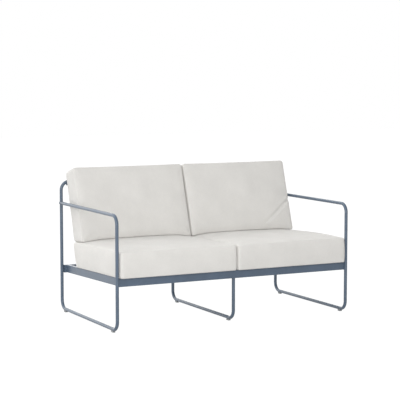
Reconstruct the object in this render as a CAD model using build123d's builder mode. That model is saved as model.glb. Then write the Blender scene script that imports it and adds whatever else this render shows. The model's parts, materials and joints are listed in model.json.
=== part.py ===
from build123d import *
from math import cos, radians, sin, tan
import os

os.makedirs("parts", exist_ok=True)

# Patio loveseat: a bent-tube frame in three floor loops, a box-section seat frame that falls
# slightly to the back, a leaning slatted back, and four loose boxed cushions with zips.
# Millimetres. +X is to the right of someone who faces the loveseat, +Y is to its back, +Z up.
# The origin is on the floor, in the middle of the footprint.

# Bent round tube of the legs, arms, runners and top rail
tube_diameter = 19.0
tube_wall = 1.8
bend_radius = 50.0
side_pitch = 1460.0
leg_pitch = 816.0
arm_height = 641.0
back_rise = 126.0
floor_clearance = 7.5
weld_gap = 0.1
cut_overrun = 30.0

# Caps on the rear ends of the arms
arm_overhang = 2.5
cap_thickness = 2.0
cap_stem = 4.0
cap_round = 0.8
fit_gap = 0.1

# Stepped pins that join the back tube to the side frames, and their grub screws
spigot_diameter = 12.0
spigot_head_length = 50.0
spigot_tail = 30.0
grub_diameter = 5.0
grub_depth = 6.5
grub_sink = 0.2
grub_socket = 1.4
grub_socket_depth = 2.0
upper_grub_rise = 32.0
lower_grub_drop = 14.0

# Seat frame of box section
rail_height = 45.0
rail_depth = 20.0
rail_wall = 1.5
rail_round = 2.0
seat_height = 299.0
seat_tilt = 1.8
front_rail_setback = 4.5
rear_rail_setback = 7.5
rail_end_inset = 6.0
side_rail_inset = 23.0
centre_bar_width = 30.0
centre_bar_height = 15.0

# Seat slats
seat_slat_count = 6
seat_slat_width = 30.0
seat_slat_thickness = 4.0
slat_front_margin = 55.0
slat_rear_margin = 30.0
slat_round = 1.0
slat_seat_gap = 0.05

# Leaning back panel
back_lean = 17.6
back_bar_width = 30.0
back_bar_thickness = 6.0
back_bar_rise = 4.0
back_bar_inset = 25.0
back_slat_count = 6
back_slat_width = 30.0
back_slat_thickness = 5.0
back_slat_pitch = 230.0
lower_rail_height = 20.0
lower_rail_depth = 20.0

# Middle leg loop with its plugs, bolts and nuts
middle_front_top_gap = 1.0
middle_rear_top_drop = 4.0
plug_thickness = 2.0
plug_stem = 6.0
bolt_diameter = 6.0
bolt_head_diameter = 11.0
bolt_head_height = 2.2
bolt_socket = 2.2
bolt_socket_depth = 1.4
bolt_rise = 10.0
nut_across = 11.0
nut_height = 6.0
thread_gap = 0.05

# Plastic glides under the runners
glide_length = 24.0
glide_width = 16.0
glide_wrap = 3.5
glide_inset = 58.0
glide_round = 1.5
glide_screw_diameter = 3.2
glide_head_diameter = 6.0
glide_head_height = 2.0
glide_head_sink = 1.0
glide_screw_reach = 4.0

# Seat cushions
seat_pad_thickness = 141.0
seat_pad_crown = 24.0
seat_pad_overhang = 24.0
seat_pad_side_gap = 4.5
seat_split_x = 0.0
seat_split_gap = 5.0

# Back cushions
back_pad_thickness = 126.0
back_pad_crown = 14.0
back_pad_rise = 48.0
back_pad_side_gap = 15.0
back_split_x = 0.0
back_split_gap = 5.0
back_pad_rest_share = 0.9

# Shared by all cushions: the rounding of the edges, the pull of the sides and the padding
rest_gap = 0.3
edge_round = 5.0
side_pull = 3.0
corner_round = 12.0
crown_corner_round = 30.0
wrap_thickness = 16.0
wrap_base = 8.0
wrap_top = 5.0

# Zips sewn into the resting side of each cover
zip_end_margin = 60.0
zip_recess_width = 16.0
zip_recess_depth = 5.0
zip_tape_width = 14.0
zip_tape_thickness = 1.0
zip_coil_width = 4.5
zip_coil_height = 1.4
slider_length = 11.0
slider_width = 9.0
slider_height = 2.6
slider_gap = 0.25
slider_end_margin = 4.0
pull_length = 7.0
pull_width = 4.0
pull_thickness = 0.8

# Height up the side band, inset of a free side and inset of a resting side, as shares
band_shares = [
    (0.0, 1.0, 1.0),
    (0.07, 0.4, 0.35),
    (0.22, -0.1, 0.06),
    (0.5, -0.35, 0.0),
    (0.78, -0.1, 0.06),
    (0.93, 0.4, 0.35),
    (1.0, 1.0, 1.0),
]

# Rise up the crown, and inset as a share of the half depth
crown_shares = [(0.0, 0.0), (0.5, 0.16), (0.84, 0.42), (1.0, 0.74)]

# Worked out from the sizes above
tube_radius = tube_diameter / 2
bore_radius = tube_radius - tube_wall
cope_radius = tube_radius + weld_gap
side_x = side_pitch / 2
top_rail_height = arm_height + back_rise
arm_tip = tube_radius + arm_overhang + cap_thickness
seat_pad_reach = seat_pad_overhang - front_rail_setback
front_leg_y = -(leg_pitch + arm_tip - seat_pad_reach) / 2
rear_leg_y = front_leg_y + leg_pitch
arm_end_y = rear_leg_y + tube_radius + arm_overhang
runner_z = floor_clearance + tube_radius
leg_top_z = arm_height - tube_diameter
spigot_head_radius = bore_radius - fit_gap

front_rail_face = front_leg_y + front_rail_setback
front_rail_back = front_rail_face + rail_depth
rear_rail_back = rear_leg_y - rear_rail_setback
rear_rail_face = rear_rail_back - rail_depth
rail_half = side_x - rail_end_inset
side_rail_outer = side_x - side_rail_inset
side_rail_inner = side_rail_outer - rail_depth
seat_fall = tan(radians(seat_tilt))

lean_sin = sin(radians(back_lean))
lean_cos = cos(radians(back_lean))
lean_tan = tan(radians(back_lean))
bar_offset = tube_radius + weld_gap
slat_offset = bar_offset + back_bar_thickness
pad_offset = slat_offset + back_slat_thickness + rest_gap

middle_front_y = front_rail_back + weld_gap + tube_radius
middle_rear_y = rear_rail_back + weld_gap + tube_radius


def seat_z(y):
    """Height of the sloping plane that the seat cushions lie on, at a depth y."""
    return seat_height - (y - front_rail_back) * seat_fall


def lean_plane(offset):
    """The back's leaning plane, offset forwards from the top tube's axis; its y runs up it."""
    origin = (0, rear_leg_y - offset * lean_cos, top_rail_height + offset * lean_sin)
    return Plane(origin, x_dir=(1, 0, 0), z_dir=(0, -lean_cos, lean_sin))


# Centre bar's underside over the back's lower rail fixes how low that rail sits
slat_drop = (seat_slat_thickness + slat_seat_gap) / cos(radians(seat_tilt))
under_bar = slat_drop + centre_bar_height + weld_gap
lower_rail_top = (
    seat_height - top_rail_height - slat_offset * lean_sin - under_bar
    - (rear_leg_y - slat_offset * lean_cos - front_rail_back) * seat_fall
) / (lean_cos + lean_sin * seat_fall)
lower_rail_bottom = lower_rail_top - lower_rail_height

rear_rail_top = seat_z(rear_rail_face)
middle_front_top = (
    seat_z(middle_front_y + tube_radius) - slat_drop - centre_bar_height
    - plug_thickness - middle_front_top_gap
)
middle_rear_top = rear_rail_top - middle_rear_top_drop
front_bolt_z = seat_height - rail_height + bolt_rise
rear_bolt_z = rear_rail_top - rail_height + bolt_rise + bolt_rise


def save(piece, name, across=0):
    """Label a finished piece, move it across to its place and write it as its own file."""
    placed = piece.part.moved(Location((across, 0, 0)))
    placed.label = name
    export_step(placed, f"parts/{name}.step")


# Side frames: arm, front leg, runner and rear leg in one bent tube, with the rear leg's top
# coped and welded under the arm
def side_tube():
    """One side loop, with the holes for the spigot, its screw and the glides' screws."""
    with BuildPart() as tube:
        with BuildLine(Plane.YZ):
            FilletPolyline(
                (arm_end_y, arm_height),
                (front_leg_y, arm_height),
                (front_leg_y, runner_z),
                (rear_leg_y, runner_z),
                (rear_leg_y, leg_top_z),
                radius=bend_radius,
            )
        with BuildSketch(Plane((0, arm_end_y, arm_height), z_dir=(0, -1, 0))):
            Circle(tube_radius)
            Circle(bore_radius, mode=Mode.SUBTRACT)
        sweep()
        with BuildSketch(Plane((0, rear_leg_y, leg_top_z))):
            Circle(tube_radius)
        extrude(amount=tube_diameter)
        with BuildSketch(Plane((0, arm_end_y, arm_height), z_dir=(0, -1, 0))):
            Circle(bore_radius)
        extrude(amount=arm_end_y - rear_leg_y + tube_diameter, mode=Mode.SUBTRACT)
        with BuildSketch(Plane((0, rear_leg_y, arm_height + tube_diameter))):
            Circle(spigot_diameter / 2 + fit_gap)
        extrude(amount=-tube_diameter - cut_overrun, mode=Mode.SUBTRACT)
        with BuildSketch(Plane((0, arm_end_y, arm_height - lower_grub_drop), z_dir=(0, -1, 0))):
            Circle(grub_diameter / 2 + thread_gap)
        extrude(amount=arm_end_y - rear_leg_y, mode=Mode.SUBTRACT)
        with BuildSketch(Plane.XY):
            with Locations((0, front_leg_y + glide_inset), (0, rear_leg_y - glide_inset)):
                Circle(glide_screw_diameter / 2 + thread_gap)
        extrude(amount=runner_z, mode=Mode.SUBTRACT)
    return tube


def arm_cap(x):
    """Domed plastic cap in the rear end of an arm."""
    with BuildPart() as cap:
        with BuildSketch(Plane((x, arm_end_y, arm_height), z_dir=(0, 1, 0))):
            Circle(tube_radius)
        extrude(amount=cap_thickness)
        fillet(cap.edges().sort_by(Axis.Y)[-1], cap_round)
        with BuildSketch(Plane((x, arm_end_y, arm_height), z_dir=(0, -1, 0))):
            Circle(bore_radius - fit_gap)
        extrude(amount=cap_stem)
    return cap


def back_spigot(x):
    """Stepped pin: its head fills the back tube's end, its tail drops through the arm."""
    shoulder_z = arm_height + tube_radius
    with BuildPart() as spigot:
        with BuildSketch(Plane((x, rear_leg_y, shoulder_z))):
            Circle(spigot_head_radius)
        extrude(amount=spigot_head_length)
        with BuildSketch(Plane((x, rear_leg_y, shoulder_z))):
            Circle(spigot_diameter / 2)
        extrude(amount=-tube_diameter - spigot_tail)
        for z in grub_heights:
            with BuildSketch(Plane((x, rear_leg_y + tube_radius, z), z_dir=(0, -1, 0))):
                Circle(grub_diameter / 2 + thread_gap)
            extrude(amount=grub_sink + grub_depth, mode=Mode.SUBTRACT)
    return spigot


grub_heights = [arm_height + upper_grub_rise, arm_height - lower_grub_drop]

for side, x in (("left", -side_x), ("right", side_x)):
    save(side_tube(), f"{side}_side_tube", x)
    save(arm_cap(x), f"{side}_arm_cap")
    save(back_spigot(x), f"{side}_back_spigot")

# Back tube: two short uprights and the top rail, coped to sit on the arms
with BuildPart() as back_top_tube:
    with BuildLine(Plane.XZ.offset(-rear_leg_y)):
        FilletPolyline(
            (-side_x, arm_height),
            (-side_x, top_rail_height),
            (side_x, top_rail_height),
            (side_x, arm_height),
            radius=bend_radius,
        )
    with BuildSketch(Plane((-side_x, rear_leg_y, arm_height))):
        Circle(tube_radius)
        Circle(bore_radius, mode=Mode.SUBTRACT)
    sweep()
    with BuildSketch(Plane((0, rear_leg_y - cut_overrun, 0), x_dir=(1, 0, 0), z_dir=(0, 1, 0))):
        with Locations((-side_x, -arm_height), (side_x, -arm_height)):
            Circle(cope_radius)
    extrude(amount=2 * cut_overrun, mode=Mode.SUBTRACT)
    for x in (-side_x, side_x):
        grub_z = arm_height + upper_grub_rise
        with BuildSketch(Plane((x, arm_end_y, grub_z), z_dir=(0, -1, 0))):
            Circle(grub_diameter / 2 + thread_gap)
        extrude(amount=arm_end_y - rear_leg_y, mode=Mode.SUBTRACT)
save(back_top_tube, "back_top_tube")

# Grub screws: two behind each rear upright, sunk just under the tube's surface
with BuildPart() as spigot_screws:
    for x in (-side_x, side_x):
        for z in grub_heights:
            head_y = rear_leg_y + tube_radius - grub_sink
            with BuildSketch(Plane((x, head_y, z), z_dir=(0, -1, 0))):
                Circle(grub_diameter / 2)
            extrude(amount=grub_depth)
            with BuildSketch(Plane((x, head_y, z), z_dir=(0, -1, 0))):
                RegularPolygon(grub_socket, 6)
            extrude(amount=grub_socket_depth, mode=Mode.SUBTRACT)
save(spigot_screws, "spigot_screws")


# Seat frame: front and rear rails between the uprights, two sloping side rails and a flat
# centre bar under the slats
def cross_rail(face_y, top_z, leg_y):
    """Box rail along X, coped at both ends around the uprights at leg_y."""
    centre = (-rail_half, face_y + rail_depth / 2, top_z - rail_height / 2)
    inner_round = rail_round - rail_wall
    with BuildPart() as rail:
        with BuildSketch(Plane(centre, x_dir=(0, 1, 0), z_dir=(1, 0, 0))):
            RectangleRounded(rail_depth, rail_height, rail_round)
            RectangleRounded(
                rail_depth - 2 * rail_wall, rail_height - 2 * rail_wall, inner_round,
                mode=Mode.SUBTRACT,
            )
        extrude(amount=2 * rail_half)
        with BuildSketch(Plane.XY):
            with Locations((-side_x, leg_y), (side_x, leg_y)):
                Circle(cope_radius)
        extrude(amount=arm_height, mode=Mode.SUBTRACT)
    return rail


def cut_bolt_hole(y, z):
    """Through hole for a middle bolt in the rail wall or tube that reaches y, along Y."""
    with BuildPart() as hole:
        with BuildSketch(Plane((0, y, z), x_dir=(1, 0, 0), z_dir=(0, 1, 0))):
            Circle(bolt_diameter / 2 + thread_gap)
        extrude(amount=tube_radius, both=True)
    return hole


def sloping_box(x, width, height, drop):
    """Box member along the seat's slope, its top a drop below the seat plane."""
    def profile(side_x_start, inset):
        with BuildSketch(Plane.YZ.offset(side_x_start)) as face:
            with BuildLine():
                Polyline(
                    (front_rail_back, seat_z(front_rail_back) - drop - inset),
                    (rear_rail_face, seat_z(rear_rail_face) - drop - inset),
                    (rear_rail_face, seat_z(rear_rail_face) - drop - height + inset),
                    (front_rail_back, seat_z(front_rail_back) - drop - height + inset),
                    close=True,
                )
            make_face()
        return face.sketch

    with BuildPart() as member:
        extrude(profile(x - width / 2, 0), amount=width)
        fillet(member.edges().group_by(SortBy.LENGTH)[-1], rail_round)
        inner_start = x - width / 2 + rail_wall
        extrude(profile(inner_start, rail_wall), amount=width - 2 * rail_wall, mode=Mode.SUBTRACT)
    return member


front_rail = cross_rail(front_rail_face, seat_height, front_leg_y)
rear_rail = cross_rail(rear_rail_face, rear_rail_top, rear_leg_y)
front_bolt_hole = cut_bolt_hole(front_rail_back, front_bolt_z)
rear_bolt_hole = cut_bolt_hole(rear_rail_back, rear_bolt_z)

with BuildPart() as seat_front_rail:
    add(front_rail.part)
    add(front_bolt_hole.part, mode=Mode.SUBTRACT)
save(seat_front_rail, "seat_front_rail")

with BuildPart() as seat_rear_rail:
    add(rear_rail.part)
    add(rear_bolt_hole.part, mode=Mode.SUBTRACT)
save(seat_rear_rail, "seat_rear_rail")

side_rail_x = (side_rail_outer + side_rail_inner) / 2
save(sloping_box(-side_rail_x, rail_depth, rail_height, 0), "seat_left_rail")
save(sloping_box(side_rail_x, rail_depth, rail_height, 0), "seat_right_rail")
save(
    sloping_box(0, centre_bar_width, centre_bar_height, slat_drop),
    "seat_centre_bar",
)

# Seat slats: flat bars from side rail to side rail, laid over the centre bar
pad_rear_foot = rear_leg_y + lower_rail_top * lean_sin - pad_offset * lean_cos
slat_first_y = front_rail_back + slat_front_margin
slat_last_y = pad_rear_foot - slat_rear_margin
slat_step = (slat_last_y - slat_first_y) / (seat_slat_count - 1)
seat_normal = (0, sin(radians(seat_tilt)), cos(radians(seat_tilt)))

for index in range(seat_slat_count):
    y = slat_first_y + index * slat_step
    with BuildPart() as seat_slat:
        with BuildSketch(Plane((0, y, seat_z(y)), x_dir=(1, 0, 0), z_dir=seat_normal)):
            Rectangle(2 * side_rail_inner, seat_slat_width)
        extrude(amount=-seat_slat_thickness)
        fillet(seat_slat.edges().filter_by(Axis.X), slat_round)
    save(seat_slat, f"seat_slat_{index + 1}")

# Back panel: a flat bar against the top tube, leaning slats on its front and a low box rail
with BuildPart() as back_top_bar:
    with BuildSketch(lean_plane(bar_offset)):
        with Locations((0, back_bar_rise - back_bar_width / 2)):
            Rectangle(2 * (side_x - back_bar_inset), back_bar_width)
    extrude(amount=back_bar_thickness)
    fillet(back_top_bar.edges().filter_by(Axis.X), slat_round)
save(back_top_bar, "back_top_bar")

back_slat_length = back_bar_rise - lower_rail_bottom
for index in range(back_slat_count):
    x = (index - (back_slat_count - 1) / 2) * back_slat_pitch
    with BuildPart() as back_slat:
        with BuildSketch(lean_plane(slat_offset)):
            with Locations((x, back_bar_rise - back_slat_length / 2)):
                Rectangle(back_slat_width, back_slat_length)
        extrude(amount=back_slat_thickness)
        fillet(back_slat.edges().group_by(SortBy.LENGTH)[-1], slat_round)
    save(back_slat, f"back_slat_{index + 1}")

lower_rail_origin = lean_plane(slat_offset).from_local_coords(
    (-side_rail_inner, lower_rail_top - lower_rail_height / 2, -lower_rail_depth / 2)
)
with BuildPart() as back_lower_rail:
    with BuildSketch(Plane(lower_rail_origin, x_dir=(0, lean_sin, lean_cos), z_dir=(1, 0, 0))):
        Rectangle(lower_rail_height, lower_rail_depth)
        Rectangle(
            lower_rail_height - 2 * rail_wall, lower_rail_depth - 2 * rail_wall,
            mode=Mode.SUBTRACT,
        )
    extrude(amount=2 * side_rail_inner)
save(back_lower_rail, "back_lower_rail")

# Middle leg loop: behind the front rail and behind the rear rail, one bolt through each
with BuildPart() as middle_leg_loop:
    with BuildLine(Plane.YZ):
        FilletPolyline(
            (middle_front_y, middle_front_top),
            (middle_front_y, runner_z),
            (middle_rear_y, runner_z),
            (middle_rear_y, middle_rear_top),
            radius=bend_radius,
        )
    with BuildSketch(Plane((0, middle_front_y, middle_front_top), z_dir=(0, 0, -1))):
        Circle(tube_radius)
        Circle(bore_radius, mode=Mode.SUBTRACT)
    sweep()
    for y, z in ((middle_front_y, front_bolt_z), (middle_rear_y, rear_bolt_z)):
        with BuildSketch(Plane((0, y, z), x_dir=(1, 0, 0), z_dir=(0, 1, 0))):
            Circle(bolt_diameter / 2 + thread_gap)
        extrude(amount=tube_diameter, both=True, mode=Mode.SUBTRACT)
    with BuildSketch(Plane.XY):
        with Locations((0, middle_front_y + glide_inset), (0, middle_rear_y - glide_inset)):
            Circle(glide_screw_diameter / 2 + thread_gap)
    extrude(amount=runner_z, mode=Mode.SUBTRACT)
save(middle_leg_loop, "middle_leg_loop")

middle_posts = (
    (middle_front_y, middle_front_top, front_bolt_z),
    (middle_rear_y, middle_rear_top, rear_bolt_z),
)

with BuildPart() as middle_leg_plugs:
    for y, top_z, bolt_z in middle_posts:
        with BuildSketch(Plane((0, y, top_z))):
            Circle(tube_radius)
        extrude(amount=plug_thickness)
        with BuildSketch(Plane((0, y, top_z))):
            Circle(bore_radius - fit_gap)
        extrude(amount=-plug_stem)
save(middle_leg_plugs, "middle_leg_plugs")

with BuildPart() as middle_leg_bolts:
    for y, top_z, bolt_z in middle_posts:
        with BuildSketch(Plane((0, y + tube_radius, bolt_z), z_dir=(0, 1, 0))):
            Circle(bolt_head_diameter / 2)
        extrude(amount=bolt_head_height)
        with BuildSketch(Plane((0, y + tube_radius, bolt_z), z_dir=(0, -1, 0))):
            Circle(bolt_diameter / 2)
        extrude(amount=tube_diameter + weld_gap + rail_wall + nut_height)
        with BuildSketch(Plane((0, y + tube_radius + bolt_head_height, bolt_z), z_dir=(0, -1, 0))):
            RegularPolygon(bolt_socket, 6)
        extrude(amount=bolt_socket_depth, mode=Mode.SUBTRACT)
save(middle_leg_bolts, "middle_leg_bolts")

with BuildPart() as middle_leg_nuts:
    for y, top_z, bolt_z in middle_posts:
        nut_y = y - tube_radius - weld_gap - rail_wall
        with BuildSketch(Plane((0, nut_y, bolt_z), z_dir=(0, -1, 0))):
            RegularPolygon(nut_across / 2, 6, major_radius=False)
            Circle(bolt_diameter / 2 + thread_gap, mode=Mode.SUBTRACT)
        extrude(amount=nut_height)
save(middle_leg_nuts, "middle_leg_nuts")

# Glides: plastic saddles screwed up into the runners
glide_places = []
for label, x, front_y, rear_y in (
    ("left", -side_x, front_leg_y, rear_leg_y),
    ("middle", 0, middle_front_y, middle_rear_y),
    ("right", side_x, front_leg_y, rear_leg_y),
):
    glide_places.append((f"{label}_front_glide", x, front_y + glide_inset))
    glide_places.append((f"{label}_rear_glide", x, rear_y - glide_inset))

glide_bore_radius = glide_screw_diameter / 2 + thread_gap
glide_recess_depth = glide_head_sink + glide_head_height
for name, x, y in glide_places:
    with BuildPart() as glide:
        with BuildSketch(Plane((x, y, 0))):
            Rectangle(glide_width, glide_length)
        extrude(amount=floor_clearance + glide_wrap)
        fillet(glide.edges().filter_by(Axis.Z), glide_round)
        fillet(glide.edges().group_by(Axis.Z)[0], glide_round)
        with BuildSketch(Plane((x, y, runner_z), z_dir=(0, 1, 0))):
            Circle(cope_radius)
        extrude(amount=glide_length, both=True, mode=Mode.SUBTRACT)
        with BuildSketch(Plane((x, y, 0))):
            Circle(glide_head_diameter / 2 + fit_gap)
        extrude(amount=glide_recess_depth, mode=Mode.SUBTRACT)
        with BuildSketch(Plane((x, y, 0))):
            Circle(glide_bore_radius)
        extrude(amount=runner_z, mode=Mode.SUBTRACT)
    save(glide, name)

with BuildPart() as glide_screws:
    for name, x, y in glide_places:
        with BuildSketch(Plane((x, y, glide_head_sink))):
            Circle(glide_head_diameter / 2)
        extrude(amount=glide_head_height)
        with BuildSketch(Plane((x, y, glide_recess_depth))):
            Circle(glide_screw_diameter / 2)
        extrude(amount=floor_clearance + glide_screw_reach - glide_recess_depth)
        with BuildSketch(Plane((x, y, glide_head_sink))):
            RegularPolygon(glide_screw_diameter / 2, 4)
        extrude(amount=glide_head_height / 2, mode=Mode.SUBTRACT)
save(glide_screws, "glide_screws")


# Cushions: a boxed cover with crowned top, drawn-in sides and a zip, round a foam block
class Pad:
    """Sizes of one boxed cushion in its own plane: X across, y from low to high, z outwards."""

    def __init__(self, name, plane, half_width, depth, low_slope, high_slope, thickness, crown,
                 rests_high):
        self.name = name
        self.plane = plane
        self.half_width = half_width
        self.depth = depth
        self.low_slope = low_slope
        self.high_slope = high_slope
        self.thickness = thickness
        self.crown = crown
        self.rests_high = rests_high

    def low(self, height):
        """Place of the low side at a height above the resting face."""
        return self.low_slope * height

    def high(self, height):
        """Place of the high side at a height above the resting face."""
        return self.depth + self.high_slope * height

    def outline(self, height, free_inset, rest_inset, corner):
        """One level of the cushion: four sides that pull in, except the one that rests."""
        low_inset = free_inset if self.rests_high else rest_inset
        high_inset = rest_inset if self.rests_high else free_inset
        half = self.half_width - free_inset
        low = self.low(height) + low_inset
        high = self.high(height) - high_inset
        middle = (low + high) / 2
        pull = side_pull * half / self.half_width
        with BuildSketch(self.plane.offset(height)) as level:
            with BuildLine():
                if self.rests_high:
                    ThreePointArc((-half, low), (0, low + pull), (half, low))
                    Line((half, high), (-half, high))
                else:
                    Line((-half, low), (half, low))
                    ThreePointArc((half, high), (0, high - pull), (-half, high))
                ThreePointArc((half, low), (half - pull, middle), (half, high))
                ThreePointArc((-half, high), (pull - half, middle), (-half, low))
            make_face()
            fillet(level.vertices(), corner)
        return level.sketch

    def foam_profile(self):
        """The foam block's section, seen along X."""
        base = wrap_base
        top = self.thickness - wrap_top
        with BuildSketch(Plane(self.plane.origin, x_dir=self.plane.y_dir,
                               z_dir=self.plane.x_dir)) as section:
            with BuildLine():
                Polyline(
                    (self.low(base) + wrap_thickness, base),
                    (self.high(base) - wrap_thickness, base),
                    (self.high(top) - wrap_thickness, top),
                    (self.low(top) + wrap_thickness, top),
                    close=True,
                )
            make_face()
        return section.sketch

    def zip_plane(self):
        """Plane on the resting side at mid height, facing out of the cushion."""
        middle = self.thickness / 2
        if self.rests_high:
            place = (0, self.high(middle), middle)
            outward = self.plane.y_dir - self.plane.z_dir * self.high_slope
        else:
            place = (0, self.low(middle), middle)
            outward = self.plane.z_dir * self.low_slope - self.plane.y_dir
        origin = self.plane.from_local_coords(place)
        return Plane(origin, x_dir=self.plane.x_dir, z_dir=outward)


def make_cover(pad):
    """Cover with its fibre wrap: side band, crown, the foam's hollow and the zip's recess."""
    with BuildPart() as cover:
        loft([
            pad.outline(pad.thickness * up, edge_round * free, edge_round * rest, corner_round)
            for up, free, rest in band_shares
        ])
        crown_levels = []
        for rise, inward in crown_shares:
            inset = edge_round + inward * (pad.depth / 2)
            corner = corner_round + inward * crown_corner_round
            crown_levels.append(
                pad.outline(pad.thickness + pad.crown * rise, inset, inset, corner)
            )
        loft(crown_levels)
        extrude(pad.foam_profile(), amount=pad.half_width - wrap_thickness, both=True,
                mode=Mode.SUBTRACT)
        with BuildSketch(pad.zip_plane().offset(cut_overrun)):
            Rectangle(2 * (pad.half_width - zip_end_margin), zip_recess_width)
        extrude(amount=-cut_overrun - zip_recess_depth, mode=Mode.SUBTRACT)
    return cover


def make_foam(pad):
    """Foam block inside the cover."""
    with BuildPart() as foam:
        extrude(pad.foam_profile(), amount=pad.half_width - wrap_thickness, both=True)
    return foam


def make_zip(pad):
    """Zip tape on the floor of its recess, with the closed coil along its middle."""
    tape_length = 2 * (pad.half_width - zip_end_margin - fit_gap)
    with BuildPart() as tape:
        with BuildSketch(pad.zip_plane().offset(-zip_recess_depth)):
            Rectangle(tape_length, zip_tape_width)
        extrude(amount=zip_tape_thickness)
        with BuildSketch(pad.zip_plane().offset(zip_tape_thickness - zip_recess_depth)):
            Rectangle(tape_length, zip_coil_width)
        extrude(amount=zip_coil_height)
    return tape


def make_slider(pad):
    """Zip slider at the closed end of the coil, straddling it, with its pull laid flat."""
    floor = zip_tape_thickness + slider_gap - zip_recess_depth
    start = pad.half_width - zip_end_margin - slider_end_margin - slider_length / 2
    with BuildPart() as slider:
        with BuildSketch(pad.zip_plane().offset(floor)):
            with Locations((-start, 0)):
                RectangleRounded(slider_length, slider_width, slider_end_margin / 2)
        extrude(amount=slider_height)
        with BuildSketch(pad.zip_plane().offset(floor)):
            with Locations((-start, 0)):
                Rectangle(2 * slider_length, zip_coil_width + 2 * slider_gap)
        extrude(amount=zip_coil_height, mode=Mode.SUBTRACT)
        with BuildSketch(pad.zip_plane().offset(floor + slider_height)):
            with Locations((-start, 0)):
                SlotOverall(pull_length, pull_width)
        extrude(amount=pull_thickness)
    return slider


# Seat cushions lie on the sloping seat plane with the rear side against the back slats
seat_pad_front = front_rail_face - seat_pad_overhang
seat_start = Plane(
    (0, seat_pad_front, seat_z(seat_pad_front)), x_dir=(1, 0, 0), z_dir=seat_normal
).offset(rest_gap)
seat_lean = tan(radians(back_lean - seat_tilt))
back_face = lean_plane(pad_offset)
pad_foot_up = (seat_z(pad_rear_foot) - back_face.origin.Z) / lean_cos
pad_foot_y = back_face.origin.Y + pad_foot_up * lean_sin
seat_pad_depth = (pad_foot_y - seat_pad_front) / cos(radians(seat_tilt))

# Back cushions stand on the crown of the seat cushions and lie along the back slats
pad_rest_z = seat_z(pad_foot_y) + seat_pad_thickness + seat_pad_crown * back_pad_rest_share
pad_rest_up = (pad_rest_z + rest_gap - back_face.origin.Z) / lean_cos
back_pad_depth = back_pad_rise - pad_rest_up

outer_bulge = edge_round * -band_shares[3][1]
seat_outer = side_x - tube_radius - seat_pad_side_gap - outer_bulge
back_outer = side_x - tube_radius - back_pad_side_gap - outer_bulge


def pad_span(side_sign, outer, split_x, split_gap):
    """Middle and half width of a cushion between the outer side and the split."""
    inner = split_x + side_sign * (split_gap / 2 + outer_bulge)
    return (side_sign * outer + inner) / 2, abs(side_sign * outer - inner) / 2


pads = []
for side, side_sign in (("left", -1), ("right", 1)):
    middle_x, half_width = pad_span(side_sign, seat_outer, seat_split_x, seat_split_gap)
    seat_plane = Plane(seat_start.from_local_coords((middle_x, 0, 0)),
                       x_dir=(1, 0, 0), z_dir=seat_normal)
    pads.append(Pad(f"{side}_seat", seat_plane, half_width, seat_pad_depth, 0, seat_lean,
                    seat_pad_thickness, seat_pad_crown, True))
    middle_x, half_width = pad_span(side_sign, back_outer, back_split_x, back_split_gap)
    back_plane = Plane(back_face.from_local_coords((middle_x, pad_rest_up, 0)),
                       x_dir=(1, 0, 0), z_dir=(0, -lean_cos, lean_sin))
    pads.append(Pad(f"{side}_back", back_plane, half_width, back_pad_depth, -lean_tan, 0,
                    back_pad_thickness, back_pad_crown, False))

for pad in pads:
    save(make_cover(pad), f"{pad.name}_cover")
    save(make_foam(pad), f"{pad.name}_foam")
    save(make_zip(pad), f"{pad.name}_zip")
    save(make_slider(pad), f"{pad.name}_zip_slider")
    travel = 2 * (pad.half_width - zip_end_margin - slider_end_margin) - slider_length
    print(f"{pad.name}: {2 * pad.half_width:.1f} wide, {pad.depth:.1f} deep,"
          f" zip slider travel {travel:.1f}")
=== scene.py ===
"""Looks of a patio loveseat: powder-coated tube frame, woven boxed cushions, zips, white studio.

Lengths are in metres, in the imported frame: +X to the right of someone who faces the loveseat,
+Y to its back, +Z up, with the origin on the floor.
"""

from __future__ import annotations

import json
import logging
from dataclasses import dataclass, field
from enum import Enum

import bpy
import numpy as np
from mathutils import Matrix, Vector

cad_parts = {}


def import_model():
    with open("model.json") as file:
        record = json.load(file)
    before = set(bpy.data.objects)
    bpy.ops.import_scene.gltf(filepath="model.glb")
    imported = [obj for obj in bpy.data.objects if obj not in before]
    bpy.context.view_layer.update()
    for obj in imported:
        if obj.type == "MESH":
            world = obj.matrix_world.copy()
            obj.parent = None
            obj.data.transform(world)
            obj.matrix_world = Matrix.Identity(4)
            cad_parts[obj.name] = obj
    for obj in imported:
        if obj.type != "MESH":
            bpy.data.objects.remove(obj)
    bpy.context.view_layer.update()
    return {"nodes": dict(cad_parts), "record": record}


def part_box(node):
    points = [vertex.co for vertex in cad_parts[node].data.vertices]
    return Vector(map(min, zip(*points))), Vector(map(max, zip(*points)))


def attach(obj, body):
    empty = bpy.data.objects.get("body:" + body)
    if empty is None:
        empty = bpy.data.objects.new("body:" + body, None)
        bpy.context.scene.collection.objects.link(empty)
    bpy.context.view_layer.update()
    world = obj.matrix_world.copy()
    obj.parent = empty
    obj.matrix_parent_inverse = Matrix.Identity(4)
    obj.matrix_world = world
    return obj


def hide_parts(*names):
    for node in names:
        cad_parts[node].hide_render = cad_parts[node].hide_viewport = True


MM = 0.001
NEAR = 0.1 * MM  # places closer than this count as one
TINY = 1e-9  # keeps a divisor off zero
GRID_DIGITS = 6  # decimals that tell grid lines apart
WHITE = (1.0, 1.0, 1.0, 1.0)
SEAT_FALL = 1.8  # degrees that the seat falls to the back
BACK_LEAN = 17.6  # degrees that the back leans from upright
LOG = logging.getLogger("loveseat")

Tree = bpy.types.NodeTree
Socket = bpy.types.NodeSocket
# A face's height over the floor: its places across, its places along, a height at each crossing
HeightField = tuple[np.ndarray, np.ndarray, np.ndarray]
# A node's inputs by name or number, each with its value or with the output that feeds it
Inputs = dict[str | int, object]
# Points along a joint, and for each a direction away from the joint
Joint = tuple[np.ndarray, np.ndarray]


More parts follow.
